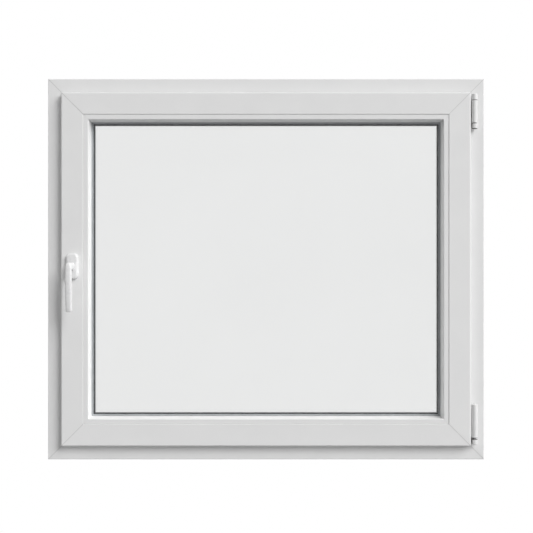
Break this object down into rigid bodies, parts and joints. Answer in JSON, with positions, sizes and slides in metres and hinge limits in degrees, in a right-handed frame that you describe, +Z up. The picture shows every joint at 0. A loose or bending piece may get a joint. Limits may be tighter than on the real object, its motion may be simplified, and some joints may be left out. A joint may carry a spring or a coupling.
{
  "type": "tilt and turn window",
  "caption": "White plastic tilt and turn window: welded frame, flanged sash, sloped glazing beads, insulating glass, covered hinges on the right and a lever handle on the left.",
  "frame": {"origin": "middle of the underside of the sill, on the wall opening, half way through the frame's depth", "axes": "+X to the right seen from the room, +Y outdoors, +Z up"},
  "size_m": [1.1, 0.1491, 0.96],
  "materials": {
    "white_profile": "satin",
    "white_bead": "satin",
    "white_cover": "satin",
    "white_handle": "satin",
    "grey_seal": "matte",
    "dark_seal": "matte",
    "dark_spacer": "matte",
    "hinge_steel": "satin",
    "clear_glass": "polished"
  },
  "bodies": {
    "window": {"frame_head": "white_profile", "frame_sill": "white_profile", "frame_lock_jamb": "white_profile", "frame_hinge_jamb": "white_profile", "sash_top_rail": "white_profile", "sash_bottom_rail": "white_profile", "sash_lock_stile": "white_profile", "sash_hinge_stile": "white_profile", "bead_top": "white_bead", "bead_bottom": "white_bead", "bead_lock_side": "white_bead", "bead_hinge_side": "white_bead", "frame_seal": "dark_seal", "sash_seal": "grey_seal", "inner_glazing_seal": "grey_seal", "outer_glazing_seal": "dark_seal", "outer_pane": "clear_glass", "inner_pane": "clear_glass", "edge_sealant": "dark_seal", "spacer_bar": "dark_spacer", "top_hinge_pin": "white_cover", "top_hinge_bearing": "hinge_steel", "top_hinge_sleeve": "white_cover", "top_hinge_cap": "white_cover", "bottom_hinge_bearing": "white_cover", "bottom_hinge_pin": "hinge_steel", "bottom_hinge_leaf": "hinge_steel", "bottom_hinge_sleeve": "white_cover", "handle_rosette": "white_handle", "drain_caps": "white_cover"},
    "handle": {"handle_lever": "white_handle"}
  },
  "joints": [
    {"name": "handle_turn", "type": "hinge", "parent": "window", "child": "handle", "pos_m": [-0.484, -0.065, 0.487], "axis": [0, -1, 0], "range_deg": [0, 180]}
  ]
}
